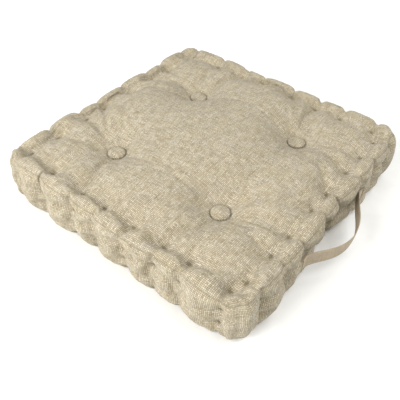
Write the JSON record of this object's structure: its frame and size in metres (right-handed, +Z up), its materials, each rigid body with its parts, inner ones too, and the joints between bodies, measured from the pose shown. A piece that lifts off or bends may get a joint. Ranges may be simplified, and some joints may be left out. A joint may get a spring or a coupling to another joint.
{
  "type": "floor cushion",
  "caption": "Square tufted box floor cushion in slubby natural cloth, with stitched rolled edges, covered buttons and a side tape handle.",
  "frame": {"origin": "centre of the flat face that the cushion rests on", "axes": "+Z up through the cushion, -Y out of the side that carries the handle, +X to the right seen from that side"},
  "size_m": [0.4, 0.4265, 0.084],
  "materials": {
    "linen_cloth": "slubby plain weave in natural oatmeal yarn",
    "cotton_tape": "flat woven cotton tape, pale beige",
    "roll_thread": "heavy twisted sewing thread",
    "handle_thread": "sewing thread",
    "tuft_twine": "waxed flax twine",
    "fibre_fill": "matted polyester fibre",
    "button_shell": "pressed sheet, bare",
    "button_back": "zinc plated plate and wire eye"
  },
  "bodies": {
    "root": {"back_boxing": "linen_cloth", "bottom_button_back_back_left": "button_back", "bottom_button_back_back_right": "button_back", "bottom_button_back_front_left": "button_back", "bottom_button_back_front_right": "button_back", "bottom_button_cover_back_left": "linen_cloth", "bottom_button_cover_back_right": "linen_cloth", "bottom_button_cover_front_left": "linen_cloth", "bottom_button_cover_front_right": "linen_cloth", "bottom_button_shell_back_left": "button_shell", "bottom_button_shell_back_right": "button_shell", "bottom_button_shell_front_left": "button_shell", "bottom_button_shell_front_right": "button_shell", "bottom_panel": "linen_cloth", "bottom_roll_stitches": "roll_thread", "fibre_fill": "fibre_fill", "front_boxing": "linen_cloth", "handle_left_end": "cotton_tape", "handle_left_stretch": "cotton_tape", "handle_right_end": "cotton_tape", "handle_right_stretch": "cotton_tape", "handle_stitching": "handle_thread", "left_boxing": "linen_cloth", "right_boxing": "linen_cloth", "top_button_back_back_left": "button_back", "top_button_back_back_right": "button_back", "top_button_back_front_left": "button_back", "top_button_back_front_right": "button_back", "top_button_cover_back_left": "linen_cloth", "top_button_cover_back_right": "linen_cloth", "top_button_cover_front_left": "linen_cloth", "top_button_cover_front_right": "linen_cloth", "top_button_shell_back_left": "button_shell", "top_button_shell_back_right": "button_shell", "top_button_shell_front_left": "button_shell", "top_button_shell_front_right": "button_shell", "top_panel": "linen_cloth", "top_roll_stitches": "roll_thread", "tuft_twine_back_left": "tuft_twine", "tuft_twine_back_right": "tuft_twine", "tuft_twine_front_left": "tuft_twine", "tuft_twine_front_right": "tuft_twine"},
    "handle": {"handle_loop": "cotton_tape"}
  },
  "joints": [
    {"name": "handle_swing", "type": "hinge", "parent": "root", "child": "handle", "pos_m": [0, -0.1978, 0.038], "axis": [1, 0, 0], "range_deg": [-45, 45], "deforming": ["handle_left_stretch", "handle_right_stretch"]}
  ]
}
